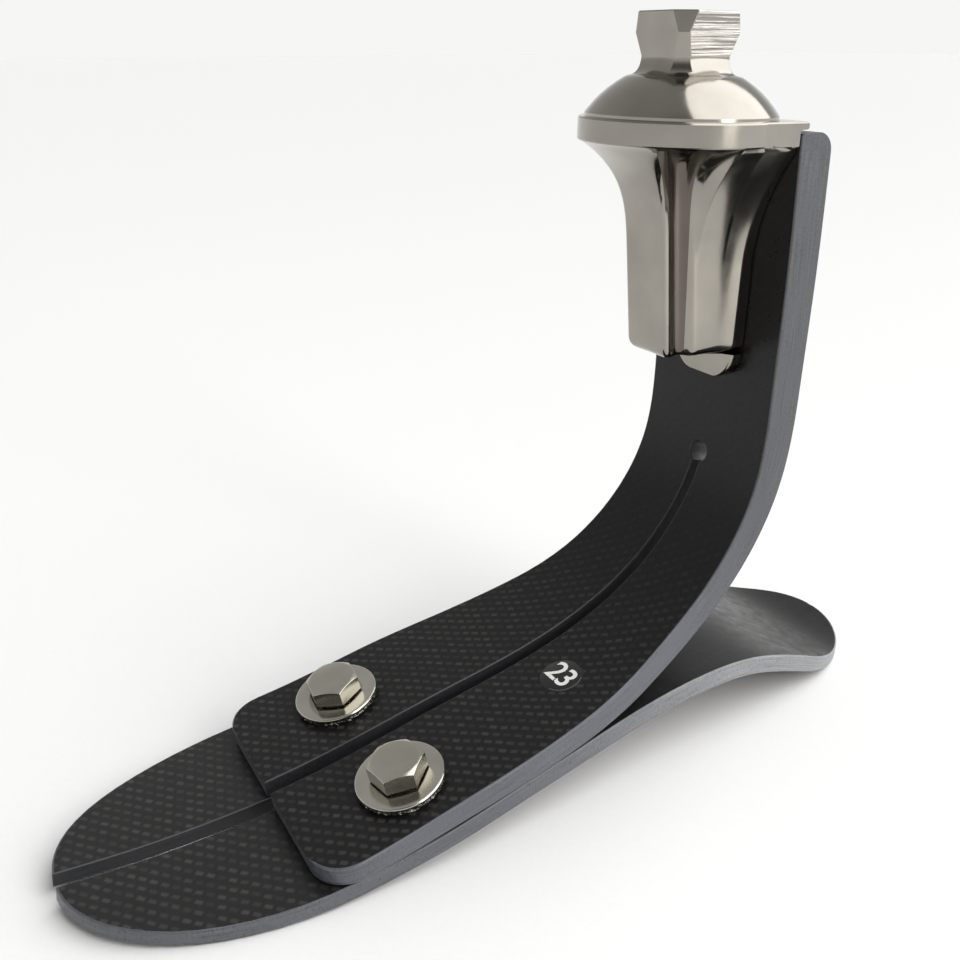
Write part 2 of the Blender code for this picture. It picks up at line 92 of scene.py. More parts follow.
ANKLE_FACE = [(16.4, 151.7), (17.2, 118.0), (16.9, 92.0), (14.4, 66.5), (0.0, 43.7),
              (-31.5, 25.8), (-70.0, 17.1), (-97.7, 11.5), (-111.8, 9.6)]
ANKLE_THICK = [(0.0, 9.9), (0.3, 9.5), (0.5, 8.0), (0.75, 6.2), (1.0, 4.8)]
ANKLE_HALF_WIDTH = [(0.0, 22.2), (0.36, 22.2), (0.46, 23.2), (0.56, 25.4), (0.66, 30.4), (0.78, 33.3),
                    (1.0, 34.4)]
ANKLE_TOP_ROUND = 4.5
FOREFOOT_CORNER = 9.5
SOLE_FACE = [(-160.0, 5.6), (-140.0, 4.1), (-122.0, 4.1), (-104.0, 5.2), (-83.0, 8.35), (-61.0, 12.3),
             (-40.0, 15.8), (-20.0, 18.5), (0.0, 19.7), (18.0, 17.8), (34.0, 12.4), (48.0, 6.5),
             (59.0, 4.1), (69.5, 4.9)]
SOLE_THICK = [(0.0, 3.6), (0.15, 4.0), (0.3, 4.5), (0.6, 5.4), (0.85, 5.2), (1.0, 3.6)]
SOLE_HALF_WIDTH = [(-104.0, 33.6), (-80.0, 34.0), (-50.0, 32.0), (-20.0, 29.4),
                   (10.0, 28.0), (32.0, 27.2), (48.0, 25.4)]
TOE_ROUND_FROM = -104.0
TOE_ROUND_POWER = 0.92
HEEL_ROUND_FROM = 40.0
SLOT_HALF = 2.1
SLOT_HALF_AT_HOLE = 1.3
SLOT_TAPER = 95.0
RELIEF_RADIUS = 3.0
ANKLE_SLOT_END_Z = 68.9
SOLE_SLOT_END_Y = -22.0
BOLT_X = 18.6
BOLT_Y = -85.6
ANKLE_BOLT_Z = (112.0, 136.0)
LEAN = math.radians(1.2)
LEAN_Z = 148.5
LABEL_X = 14.6
LABEL_Y = -38.2

BOLT_HOLE = 4.15
SLEEVE_HOLE = 5.5
SLEEVE_RECESS = 8.9
SLEEVE_RECESS_DEPTH = 1.8
HOLE_COUNT = 64


class Curve:
    """Natural cubic spline through (y, z) points, measured by chord length."""

    def __init__(self, points):
        pts = np.array(points, float)
        self.pts = pts
        self.knots = np.concatenate([[0.0], np.cumsum(np.hypot(*np.diff(pts, axis=0).T))])
        gaps = np.diff(self.knots)
        count = len(pts)
        system = np.eye(count)
        right = np.zeros_like(pts)
        for i in range(1, count - 1):
            system[i, i - 1:i + 2] = gaps[i - 1], 2 * (gaps[i - 1] + gaps[i]), gaps[i]
            right[i] = 6 * ((pts[i + 1] - pts[i]) / gaps[i] - (pts[i] - pts[i - 1]) / gaps[i - 1])
        self.bend = np.linalg.solve(system, right)
        self.gaps = gaps
        self.length = float(self.knots[-1])

    def at(self, s):
        """Point and unit tangent at chord distance s."""
        i = int(np.clip(np.searchsorted(self.knots, s) - 1, 0, len(self.pts) - 2))
        h = self.gaps[i]
        a = (self.knots[i + 1] - s) / h
        b = (s - self.knots[i]) / h
        low, high = self.bend[i], self.bend[i + 1]
        start, end = self.pts[i], self.pts[i + 1]
        pos = a * start + b * end + ((a ** 3 - a) * low + (b ** 3 - b) * high) * h * h / 6
        slope = (end - start) / h + ((3 * b * b - 1) * high - (3 * a * a - 1) * low) * h / 6
        return pos, slope / np.linalg.norm(slope)

    def where(self, axis, value):
        """Chord distance where Y (axis 0) or Z (axis 1) takes a value."""
        stations = np.linspace(0, self.length, 6001)
        return float(min(stations, key=lambda s: abs(self.at(s)[0][axis] - value)))


def table_value(table, u):
    return float(np.interp(u, [row[0] for row in table], [row[1] for row in table]))


def normal_of(tangent, hint):
    normal = np.array([tangent[1], -tangent[0]])
    return normal if normal @ np.array(hint) > 0 else -normal


ANKLE = Curve(ANKLE_FACE)
SOLE = Curve(SOLE_FACE)


def smooth_table(table, u):
    """Table value with the corners between its straight stretches eased."""
    spread = (-0.04, -0.02, 0.0, 0.02, 0.04)
    low, high = table[0][0], table[-1][0]
    span = high - low
    picks = [table_value(table, u + d * span) for d in spread]
    ends = min(u - low, high - u) / span
    ease = min(max(ends / 0.04, 0.0), 1.0)
    return ease * sum(picks) / len(picks) + (1 - ease) * table_value(table, u)


# ---------------------------------------------------------------- mesh helpers

def new_object(name, mesh, body="root"):
    obj = bpy.data.objects.new(name, mesh)
    bpy.context.scene.collection.objects.link(obj)
    if body:
        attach(obj, body)
    return obj


class Skin:
    """Collects vertices in drawing millimetres with faces, face materials and UVs in millimetres."""

    def __init__(self, name):
        self.name = name
        self.bm = bmesh.new()
        self.uv = self.bm.loops.layers.uv.new("flat")
        self.place = Matrix.Identity(4)

    def vert(self, p):
        q = self.place @ Vector(p)
        return self.bm.verts.new(world(*q))

    def face(self, verts, uvs=None, material=0, smooth=True):
        clean, kept = [], []
        for i, v in enumerate(verts):
            if v not in clean:
                clean.append(v)
                kept.append(i)
        if len(clean) < 3:
            return None
        try:
            face = self.bm.faces.new(clean)
        except ValueError:
            return None
        face.material_index = material
        face.smooth = smooth
        if uvs:
            for loop, i in zip(face.loops, kept):
                loop[self.uv].uv = uvs[i]
        return face

    def finish(self, materials, merge=0.0, sharp=None):
        if merge:
            bmesh.ops.remove_doubles(self.bm, verts=self.bm.verts, dist=merge * MM)
            bmesh.ops.dissolve_degenerate(self.bm, edges=self.bm.edges, dist=merge * MM * 0.5)
        bmesh.ops.recalc_face_normals(self.bm, faces=self.bm.faces)
        mesh = bpy.data.meshes.new(self.name)
        self.bm.to_mesh(mesh)
        self.bm.free()
        for material in materials:
            mesh.materials.append(material)
        if sharp:
            mesh.set_sharp_from_angle(angle=math.radians(sharp))
        return new_object(self.name, mesh)


def frame_from(origin, axis):
    """Matrix in millimetres whose +Z runs along axis and whose +X stays level."""
    z = Vector(axis).normalized()
    y = z.cross(Vector((1, 0, 0))).normalized()
    x = y.cross(z)
    return Matrix.Translation(Vector(origin)) @ Matrix((x, y, z)).transposed().to_4x4()


CASTING = (Matrix.Translation(Vector((0, 0, LEAN_Z))) @ Matrix.Rotation(-LEAN, 4, "X")
           @ Matrix.Translation(Vector((0, 0, -LEAN_Z))))

# ---------------------------------------------------------------- material helpers

class Wiring:
    """Short helpers for wiring a node tree."""

    def __init__(self, tree):
        self.tree = tree

    def node(self, kind, **settings):
        node = self.tree.nodes.new(kind)
        for key, value in settings.items():
            setattr(node, key, value)
        return node

    def link(self, source, target):
        self.tree.links.new(source, target)

    def put(self, target, value):
        if isinstance(value, (int, float, tuple)):
            target.default_value = value
        else:
            self.link(value, target)

    def math(self, operation, a, b=0.0, c=0.0):
        node = self.node("ShaderNodeMath", operation=operation)
        for target, value in zip(node.inputs, (a, b, c)):
            self.put(target, value)
        return node.outputs[0]

    def span(self, value, low, high, out_low, out_high):
        """Value carried smoothly from low..high to out_low..out_high."""
        node = self.node("ShaderNodeMapRange", interpolation_type="SMOOTHSTEP")
        for target, v in zip(node.inputs, (value, low, high, out_low, out_high)):
            self.put(target, v)
        return node.outputs[0]


class Look(Wiring):
    """A node material with a Principled shader."""

    def __init__(self, name, roughness, metallic=0.0):
        self.material = bpy.data.materials.new(name)
        self.material.use_nodes = True
        super().__init__(self.material.node_tree)
        self.shader = self.tree.nodes["Principled BSDF"]
        self.shader.inputs["Roughness"].default_value = roughness
        self.shader.inputs["Metallic"].default_value = metallic

    def flat_xy(self):
        """The two coordinates of the flattened piece, in millimetres."""
        uv = self.node("ShaderNodeUVMap", uv_map="flat")
        split = self.node("ShaderNodeSeparateXYZ")
        self.link(uv.outputs[0], split.inputs[0])
        return split.outputs[0], split.outputs[1]

    def point(self, stretch=(1.0, 1.0, 1.0)):
        """Object coordinates in millimetres, stretched per axis."""
        coord = self.node("ShaderNodeTexCoord")
        scale = self.node("ShaderNodeVectorMath", operation="MULTIPLY")
        self.link(coord.outputs["Object"], scale.inputs[0])
        scale.inputs[1].default_value = tuple(1000.0 * k for k in stretch)
        return scale.outputs[0]

    def combine(self, x, y, z=0.0):
        node = self.node("ShaderNodeCombineXYZ")
        for target, value in zip(node.inputs, (x, y, z)):
            self.put(target, value)
        return node.outputs[0]

    def grid(self, x, x_scale, y, y_scale):
        """Two coordinates as one vector, each with its own scale."""
        return self.combine(self.math("MULTIPLY", x, x_scale), self.math("MULTIPLY", y, y_scale))

    def noise(self, vector, scale, detail=3.0, roughness=0.5):
        node = self.node("ShaderNodeTexNoise")
        self.link(vector, node.inputs["Vector"])
        node.inputs["Scale"].default_value = scale
        node.inputs["Detail"].default_value = detail
        node.inputs["Roughness"].default_value = roughness
        return node.outputs[0]

    def mix(self, factor, a, b):
        node = self.node("ShaderNodeMix", data_type="RGBA")
        self.put(node.inputs[0], factor)
        for target, v in ((node.inputs[6], a), (node.inputs[7], b)):
            self.put(target, (*v, 1.0) if isinstance(v, tuple) else v)
        return node.outputs[2]

    def bump(self, height, strength, distance_mm):
        node = self.node("ShaderNodeBump")
        node.inputs["Strength"].default_value = strength
        node.inputs["Distance"].default_value = distance_mm * MM
        self.link(height, node.inputs["Height"])
        self.link(node.outputs[0], self.shader.inputs["Normal"])

    def set(self, socket, value):
        self.put(self.shader.inputs[socket], value)


DASH_PITCH = 2.7
ROW_PITCH = 2.5
FIBRE_DARK = (0.0065, 0.0062, 0.0066)
FIBRE_PALE = (0.0125, 0.0118, 0.012)
# TOW_SHINE is a painted sheen: the lit tow crossings are drawn lighter in the base colour.
TOW_SHINE = (0.042, 0.040, 0.038)


def dimmed(tone, share):
    return tuple(share * t for t in tone)


def carbon_face_look(name, fade_from, fade_to, low_contrast=0.25, matt=0.0, mirror=1.0,
                     specular=0.22):
    """Woven laminate face: staggered tow crossings at 45 degrees under clear resin, the crossings drawn as
    lighter dashes that are a painted sheen.

    The weave, painted sheen included, has full contrast at fade_from and low_contrast at fade_to.
    """
    look = Look(name, 0.3)
    flat_x, s = look.flat_xy()
    x = look.math("MULTIPLY", flat_x, mirror)
    wobble = look.noise(look.combine(x, s), 0.10, 2.0)
    shift = look.math("MULTIPLY", look.math("SUBTRACT", wobble, 0.5), 1.6)
    root = math.sqrt(0.5)
    falling = look.math("ADD", look.math("SUBTRACT", x, s), shift)
    rising = look.math("ADD", look.math("ADD", x, s), shift)
    lengthwise = look.math("MULTIPLY", falling, root / DASH_PITCH)
    crosswise = look.math("MULTIPLY", rising, root / ROW_PITCH)
    row = look.math("FLOOR", crosswise)
    stagger = look.math("MULTIPLY", look.math("FLOORED_MODULO", row, 2.0), 0.5)
    u = look.math("ADD", lengthwise, stagger)
    along = look.math("ABSOLUTE", look.math("SUBTRACT", look.math("FRACT", u), 0.5))
    across = look.math("ABSOLUTE", look.math("SUBTRACT", look.math("FRACT", crosswise), 0.5))
    dash_length = look.span(along, 0.44, 0.20, 0.0, 1.0)
    dash_width = look.span(across, 0.32, 0.08, 0.0, 1.0)
    dash = look.math("MULTIPLY", dash_length, dash_width)
    tow_tone = look.noise(look.combine(look.math("FLOOR", u), row), 0.9, 1.0)
    fade = look.span(s, fade_from, fade_to, 1.0, low_contrast)
    lit_dash = look.math("MULTIPLY", dash, look.span(tow_tone, 0.3, 0.7, 0.25, 1.0))
    level = look.math("MULTIPLY", lit_dash, fade)
    fibre = look.noise(look.grid(lengthwise, 1.2, crosswise, 16.0), 2.0, 2.0)
    base = look.mix(fibre, FIBRE_DARK, FIBRE_PALE)
    look.set("Base Color", look.mix(level, base, TOW_SHINE))
    dust = look.noise(look.point((0.3, 0.3, 0.3)), 1.0, 4.0)
    haze = look.span(dust, 0.3, 0.75, 0.27 + matt, 0.40 + matt)
    look.set("Roughness", look.math("ADD", haze, look.math("MULTIPLY", level, -0.05)))
    look.set("Specular IOR Level", specular)
    height = look.math("ADD", look.math("MULTIPLY", dash, fade), look.math("MULTIPLY", dust, 0.3))
    look.bump(height, 0.45, 0.05)
    return look.material


def laminate_edge_look(name, tone, rough=0.42, far_tone_painted_light=None, change_from=0.0, change_to=1.0):
    """Cut and sanded laminate: grey, with thin ply lines that run along the edge.

    The tone passes into the far tone between change_from and change_to along the spring: painted light, the
    edge drawn lighter where it is lit more brightly.
    """
    look = Look(name, rough)
    s, depth = look.flat_xy()
    plies = look.noise(look.grid(s, 0.035, depth, 2.6), 1.6, 3.0, 0.6)
    sanding = look.noise(look.grid(s, 1.4, depth, 0.5), 1.5, 4.0, 0.65)
    patch = look.noise(look.combine(s, depth), 0.09, 3.0)
    far_tone_painted_light = far_tone_painted_light or tone
    place = look.span(s, change_from, change_to, 0.0, 1.0)
    dark = look.mix(place, dimmed(tone, 0.45), dimmed(far_tone_painted_light, 0.45))
    light = look.mix(place, dimmed(tone, 1.5), dimmed(far_tone_painted_light, 1.5))
    middle = look.mix(place, tone, far_tone_painted_light)
    mixed = look.math("ADD", look.math("MULTIPLY", plies, 0.6), look.math("MULTIPLY", sanding, 0.4))
    colour = look.mix(look.span(mixed, 0.3, 0.7, 0.0, 1.0), dark, light)
    look.set("Base Color", look.mix(look.span(patch, 0.35, 0.7, 0.0, 0.5), colour, middle))
    look.set("Roughness", look.span(sanding, 0.3, 0.7, rough - 0.1, rough + 0.14))
    look.bump(mixed, 0.35, 0.05)
    return look.material


def metal_look(name, tone, low, high, scratch=0.12, milled=False):
    """Polished metal: tone and gloss drift a little, with fine polishing marks."""
    look = Look(name, low, 1.0)
    cloud = look.noise(look.point((0.08, 0.08, 0.08)), 1.0, 3.0)
    fine = look.noise(look.point((3.0, 3.0, 0.35)), 1.0, 3.0, 0.6)
    look.set("Base Color", look.mix(look.span(cloud, 0.3, 0.7, 0.0, 1.0), dimmed(tone, 0.86), tone))
    drift = look.span(cloud, 0.3, 0.7, low, high)
    look.set("Roughness", look.math("ADD", drift, look.math("MULTIPLY", fine, 0.05)))
    if milled:
        lines = look.noise(look.point((0.03, 0.03, 2.3)), 1.0, 2.0, 0.6)
        groove = look.span(lines, 0.40, 0.58, 0.0, 1.0)
        look.set("Base Color", look.mix(groove, dimmed(tone, 0.45), tone))
        look.bump(look.math("ADD", groove, look.math("MULTIPLY", fine, 0.1)), 0.8, 0.2)
    else:
        broad = look.noise(look.point((0.22, 0.22, 0.12)), 1.0, 1.0)
        look.bump(look.math("ADD", look.math("MULTIPLY", fine, scratch), broad), 0.12, 0.15)
    return look.material


DARK_EDGE_TONE = (0.02, 0.02, 0.019)
BRIGHT_SPOT_TONE = (0.45, 0.43, 0.38)


def speckled_look(name):
    """Rough washer edge: dark, with bright spots."""
    look = Look(name, 0.4, 1.0)
    spots = look.noise(look.point(), 1.1, 4.0, 0.75)
    bright_spots = look.span(spots, 0.50, 0.66, 0.0, 1.0)
    look.set("Base Color", look.mix(bright_spots, DARK_EDGE_TONE, BRIGHT_SPOT_TONE))
    look.set("Roughness", look.span(spots, 0.4, 0.65, 0.6, 0.2))
    look.bump(spots, 0.9, 0.3)
    return look.material


def plain_look(name, tone, rough, texture=0.25, drift=0.85):
    """Painted or printed surface with a faint grain."""
    look = Look(name, rough)
    grain = look.noise(look.point(), 0.6, 4.0)
    look.set("Base Color", look.mix(look.span(grain, 0.3, 0.7, 0.0, 1.0), dimmed(tone, drift), tone))
    look.set("Roughness", look.span(grain, 0.3, 0.7, rough - 0.06, rough + 0.08))
    look.bump(grain, texture, 0.02)
    return look.material


UPPER_FACE = carbon_face_look("upper_weave", 158.0, 95.0, 0.12)
UPPER_BACK = carbon_face_look("upper_back_weave", -10.0, -5.0, 0.7)
SOLE_FACE_LOOK = carbon_face_look("sole_weave", 40.0, 62.0, 0.12, 0.0, -1.0, 0.42)
SOLE_UNDER = carbon_face_look("sole_under_weave", -10.0, -5.0, 0.7, 0.1)
# Both spring edges grow lighter along the spring, the upper towards the forefoot and the sole towards the
# heel: painted light for the more brightly lit ends.
EDGE = laminate_edge_look("laminate_edge", (0.066, 0.069, 0.078), 0.40,
                          (0.085, 0.091, 0.108), 80.0, 140.0)
SOLE_EDGE = laminate_edge_look("sole_laminate_edge", (0.085, 0.089, 0.10), 0.36,
                               (0.22, 0.226, 0.24), 90.0, 190.0)
SLOT_WALL = laminate_edge_look("slot_wall", (0.026, 0.027, 0.030))
CHROME = metal_look("polished_casting", (0.335, 0.314, 0.28), 0.07, 0.15)
# Darker, browner metal for the flute and the pocket under the flange: a painted dark reflection, not a finish
# the casting has.
RECESS_PAINTED_REFLECTION = metal_look("recess_painted_reflection", (0.150, 0.130, 0.114), 0.12, 0.22, 0.3)
MILLED = metal_look("milled_pyramid", (0.60, 0.57, 0.53), 0.14, 0.24, milled=True)
BOLT_METAL = metal_look("bolt_metal", (0.52, 0.50, 0.43), 0.14, 0.24)
WASHER_METAL = metal_look("washer_metal", (0.55, 0.53, 0.47), 0.16, 0.26)
PLAIN_METAL = metal_look("plain_steel_look", (0.40, 0.39, 0.36), 0.28, 0.42, 0.4)
ROUGH_EDGE = speckled_look("rough_washer_edge")
LABEL_BLACK = plain_look("label_black", (0.012, 0.012, 0.013), 0.3)
LABEL_WHITE = plain_look("label_white", (0.88, 0.88, 0.86), 0.45, 0.1, 0.95)
LABEL_GREY = plain_look("label_grey", (0.16, 0.16, 0.155), 0.45)

# ---------------------------------------------------------------- carbon springs

EDGE_ROUND = 0.45
SLOT_EDGE_ROUND = 0.35
ARC_STEPS = 4
COLUMNS = 9
STATION_PITCH = 1.8
ZONES = {"face": 0, "under": 1, "rim": 2, "slot": 3}


class Outline:
    """Half of a spring's flat pattern: outer and inner limits at a list of chord distances."""

    def __init__(self, stations, outer, inner, end_inset):
        self.s = np.array(stations, float)
        self.outer = np.array([outer(s) for s in self.s])
        self.inner = np.array([inner(s) for s in self.s])
        self.inset = np.array([end_inset(s) for s in self.s])
        ds = np.gradient(self.s)
        dx = np.gradient(self.outer)
        size = np.hypot(ds, dx) + 1e-9
        self.normal_x = ds / size
        self.normal_s = -dx / size


def section(outline, k, thick):
    """Closed ring of (x, s, depth, zone) for one half of a spring."""
    s, outer, inner = outline.s[k], outline.outer[k], outline.inner[k]
    nx, ns = outline.normal_x[k], outline.normal_s[k]
    e = EDGE_ROUND
    start = math.acos(1 - min(outline.inset[k] / e, 1.0))
    ring = []
    row_s = s - ns * e * (1 - math.sin(start))
    row_end = max(outer - nx * e * (1 - math.sin(start)), inner)
    e_in = min(SLOT_EDGE_ROUND, inner)
    drop = e * (1 - math.cos(start))
    first = min(inner + e_in, row_end)
    for j in range(COLUMNS + 1):
        ring.append((first + (row_end - first) * j / COLUMNS, row_s, drop, "face"))
    angles = [start + (math.pi / 2 - start) * i / ARC_STEPS for i in range(1, ARC_STEPS + 1)]

    def rim(t, near_face):
        inward = e * (1 - math.sin(t))
        depth = e * (1 - math.cos(t))
        x = max(outer - nx * inward, inner)
        return x, s - ns * inward, depth if near_face else thick - depth, "rim"

    ring += [rim(t, True) for t in angles] + [rim(t, False) for t in angles[::-1]]
    for j in range(COLUMNS, -1, -1):
        ring.append((first + (row_end - first) * j / COLUMNS, row_s, thick - drop, "under"))
    for i in range(1, ARC_STEPS + 1):
        t = math.pi / 2 * i / ARC_STEPS
        ring.append((inner + e_in * (1 - math.sin(t)), s, thick - drop - e_in * (1 - math.cos(t)), "slot"))
    for i in range(ARC_STEPS, 0, -1):
        t = math.pi / 2 * i / ARC_STEPS
        ring.append((inner + e_in * (1 - math.sin(t)), s, drop + e_in * (1 - math.cos(t)), "slot"))
    return ring


def build_spring(name, curve, hint, outline, thick_of, materials, caps):
    skin = Skin(name)
    for side in (1, -1):
        rings = []
        for k in range(len(outline.s)):
            thick = thick_of(outline.s[k])
            ring = section(outline, k, thick)
            verts = []
            for x, s, depth, zone in ring:
                pos, tangent = curve.at(min(max(s, 0.0), curve.length))
                q = pos - normal_of(tangent, hint(pos)) * depth
                verts.append(skin.vert((side * x, q[0], q[1])))
            rings.append((ring, verts))
        for k in range(len(rings) - 1):
            (ra, va), (rb, vb) = rings[k], rings[k + 1]
            closed = outline.inner[k] <= 0 and outline.inner[k + 1] <= 0
            for i in range(len(ra)):
                j = (i + 1) % len(ra)
                zone = zone_between(ra[i][3], ra[j][3])
                if zone == "slot" and closed:
                    continue
                flat = zone in ("face", "under")
                corners = [(r[m], v[m]) for r, v, m in ((ra, va, i), (ra, va, j), (rb, vb, j), (rb, vb, i))]
                uvs = [(side * c[0], c[1]) if flat else (c[1], c[2]) for c, _ in corners]
                skin.face([v for _, v in corners], uvs, ZONES[zone])
        for k in caps:
            ring, verts = rings[k]
            skin.face(verts, [(c[0] + c[1], c[2]) for c in ring], ZONES["rim"])
    obj = skin.finish(materials, merge=0.004, sharp=38)
    even_normals(obj)
    return obj


def even_normals(obj):
    smooth = obj.modifiers.new("even_normals", "WEIGHTED_NORMAL")
    smooth.keep_sharp = True
    smooth.weight = 80


def zone_between(a, b):
    """Zone of a face from the zones of its two edges; the rim wins over the slot."""
    if a == b:
        return a
    return "rim" if "rim" in (a, b) else "slot"


def merged(*groups):
    values = sorted(v for group in groups for v in group)
    kept = [values[0]]
    for v in values[1:]:
        if v - kept[-1] > 0.02:
            kept.append(v)
    return kept


def slot_inner(s, hole, towards_end):
    """Half width of the slot at chord distance s; the relief hole sits at its closed end."""
    d = (s - hole) * towards_end
    if d <= -RELIEF_RADIUS:
        return 0.0
    circle = math.sqrt(max(RELIEF_RADIUS ** 2 - d * d, 0.0))
    half = SLOT_HALF_AT_HOLE + (SLOT_HALF - SLOT_HALF_AT_HOLE) * min(max(d, 0.0) / SLOT_TAPER, 1.0)
    return max(circle, half if d > 0 else 0.0)


def hole_stations(hole):
    return [hole - RELIEF_RADIUS * math.cos(math.pi * i / 18) for i in range(19)]


def build_ankle_spring():
    length = ANKLE.length
    hole = ANKLE.where(1, ANKLE_SLOT_END_Z)
    ends = [length - FOREFOOT_CORNER + FOREFOOT_CORNER * math.sin(math.pi / 2 * i / 12) for i in range(13)]
    fine_end = [length - EDGE_ROUND + EDGE_ROUND * math.sin(math.pi / 2 * i / 4) for i in range(5)]
    fine_top = [EDGE_ROUND * (1 - math.cos(math.pi / 2 * i / 4)) for i in range(5)]
    top = [ANKLE_TOP_ROUND * (1 - math.cos(math.pi / 2 * i / 9)) for i in range(10)]
    middle = np.arange(5, length - 7, STATION_PITCH)
    stations = merged(top, fine_top, middle, hole_stations(hole), ends, fine_end)
    stations[0], stations[-1] = 0.0, length

    def outer(s):
        half = smooth_table(ANKLE_HALF_WIDTH, s / length)
        left = FOREFOOT_CORNER - (length - s)
        if left > 0:
            half -= FOREFOOT_CORNER - math.sqrt(max(FOREFOOT_CORNER ** 2 - left ** 2, 0.0))
        return half

    def inset(s):
        near = min(s, length - s)
        return EDGE_ROUND - math.sqrt(max(EDGE_ROUND ** 2 - max(EDGE_ROUND - near, 0.0) ** 2, 0.0))

    def thick(s):
        t = smooth_table(ANKLE_THICK, s / length)
        left = ANKLE_TOP_ROUND - s
        if left > 0:
            t -= ANKLE_TOP_ROUND - math.sqrt(max(ANKLE_TOP_ROUND ** 2 - left ** 2, 0.0))
        return t

    outline = Outline(stations, outer, lambda s: slot_inner(s, hole, 1), inset)
    obj = build_spring("upper_spring", ANKLE, lambda pos: (-0.4, 1.0), outline, thick,
                       [UPPER_FACE, UPPER_BACK, EDGE, SLOT_WALL], (0, len(stations) - 1))
    cut_holes(obj, [(ankle_bolt_place(z), BOLT_HOLE, -16.0, 3.0) for z in ANKLE_BOLT_Z]
              + [(forefoot_place(x), SLEEVE_HOLE, -9.0, 3.0) for x in (BOLT_X, -BOLT_X)])
    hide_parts("ankle_spring")


def build_sole_spring():
    length = SOLE.length
    samples = np.linspace(0, length, 4001)
    ys = np.array([SOLE.at(s)[0][0] for s in samples])
    toe_y, heel_y = SOLE_FACE[0][0], SOLE_FACE[-1][0]
    hole = float(np.interp(SOLE_SLOT_END_Y, ys, samples))

    def station(y):
        return float(np.interp(y, ys, samples))

    toe_reach = TOE_ROUND_FROM - toe_y
    toe = [station(TOE_ROUND_FROM - toe_reach * math.sin(math.radians(a))) for a in
           (6, 12, 18, 24, 30, 36, 42, 48, 54, 60, 65, 70, 74, 77, 80, 82, 84, 85.5, 86.6)]
    heel_reach = heel_y - HEEL_ROUND_FROM
    heel = [station(HEEL_ROUND_FROM + heel_reach * math.sin(math.radians(a))) for a in
            (6, 12, 18, 24, 30, 36, 42, 48, 54, 60, 65, 70, 74, 77, 80, 82, 84, 86, 88, 89.2, 90)]
    middle = np.arange(station(TOE_ROUND_FROM) + 1.0, station(HEEL_ROUND_FROM) - 0.5, STATION_PITCH)
    stations = merged(toe, middle, hole_stations(hole), heel)

    def outer(s):
        y = float(np.interp(s, samples, ys))
        if y < TOE_ROUND_FROM:
            part = min((TOE_ROUND_FROM - y) / toe_reach, 1.0)
            return smooth_table(SOLE_HALF_WIDTH, TOE_ROUND_FROM) * (1 - part * part) ** (TOE_ROUND_POWER / 2)
        if y > HEEL_ROUND_FROM:
            part = min((y - HEEL_ROUND_FROM) / heel_reach, 1.0)
            return smooth_table(SOLE_HALF_WIDTH, HEEL_ROUND_FROM) * math.sqrt(max(1 - part * part, 0.0))
        return smooth_table(SOLE_HALF_WIDTH, y)

    outline = Outline(stations, outer, lambda s: slot_inner(s, hole, -1), lambda s: 0.0)
    obj = build_spring("lower_spring", SOLE, lambda pos: (0.0, 1.0), outline,
                       lambda s: smooth_table(SOLE_THICK, s / length),
                       [SOLE_FACE_LOOK, SOLE_UNDER, SOLE_EDGE, SLOT_WALL], (0, -1))
    depth = stack_depth()
    holes = [(forefoot_place(x), SLEEVE_HOLE, -16.0, -1.0) for x in (BOLT_X, -BOLT_X)]
    holes += [(forefoot_place(x), SLEEVE_RECESS, -depth - 6.0, -depth + SLEEVE_RECESS_DEPTH)
              for x in (BOLT_X, -BOLT_X)]
    cut_holes(obj, holes)
    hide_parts("sole_spring")


def cut_holes(obj, holes):
    """Cut round holes and keep the result as the object's own mesh."""
    cutters = []
    for place, radius, low, high in holes:
        skin = Skin("hole")
        skin.place = place
        count = HOLE_COUNT
        loops = []
        for z in (low, high):
            turn = [2 * math.pi * i / count for i in range(count)]
            loops.append([skin.vert((radius * math.cos(a), radius * math.sin(a), z)) for a in turn])
        for i in range(count):
            j = (i + 1) % count
            skin.face([loops[0][i], loops[0][j], loops[1][j], loops[1][i]],
                      [(i, low), (i + 1, low), (i + 1, high), (i, high)], ZONES["slot"])
        skin.face(loops[0][::-1], None, ZONES["slot"])
        skin.face(loops[1], None, ZONES["slot"])
        cutter = skin.finish(list(obj.data.materials))
        cutters.append(cutter)
        cut = obj.modifiers.new("cut", "BOOLEAN")
        cut.object = cutter
        cut.solver = "EXACT"
        obj.modifiers.move(len(obj.modifiers) - 1, 0)
    bpy.context.view_layer.update()
    baked = bpy.data.meshes.new_from_object(obj.evaluated_get(bpy.context.evaluated_depsgraph_get()))
    obj.modifiers.clear()
    obj.data = baked
    for cutter in cutters:
        bpy.data.objects.remove(cutter)
    even_normals(obj)


# ---------------------------------------------------------------- fasteners

def forefoot_place(x):
    """Bolt axis at the forefoot, from the upper spring's top face upwards."""
    pos, tangent = ANKLE.at(ANKLE.where(0, BOLT_Y))
    return frame_from((x, *pos), (0, *normal_of(tangent, (0.0, 1.0))))


def ankle_bolt_place(z):
    """Bolt axis at the ankle, from the upper spring's rear face rearwards."""
    s = ANKLE.where(1, z)
    pos, tangent = ANKLE.at(s)
    normal = normal_of(tangent, (-1.0, 0.0))
    rear = pos - normal * table_value(ANKLE_THICK, s / ANKLE.length)
    return frame_from((0, *rear), (0, *(-normal)))


def stack_depth():
    """Depth of both springs along the forefoot bolt."""
    pos, tangent = ANKLE.at(ANKLE.where(0, BOLT_Y))
    normal = normal_of(tangent, (0.0, 1.0))
    stations = np.linspace(0, 0.7 * SOLE.length, 1401)
    along = np.array([np.dot(SOLE.at(s)[0] - pos, tangent) for s in stations])
    s = stations[int(np.argmin(abs(along)))]
    return float(np.dot(pos - SOLE.at(s)[0], normal)) + table_value(SOLE_THICK, s / SOLE.length)


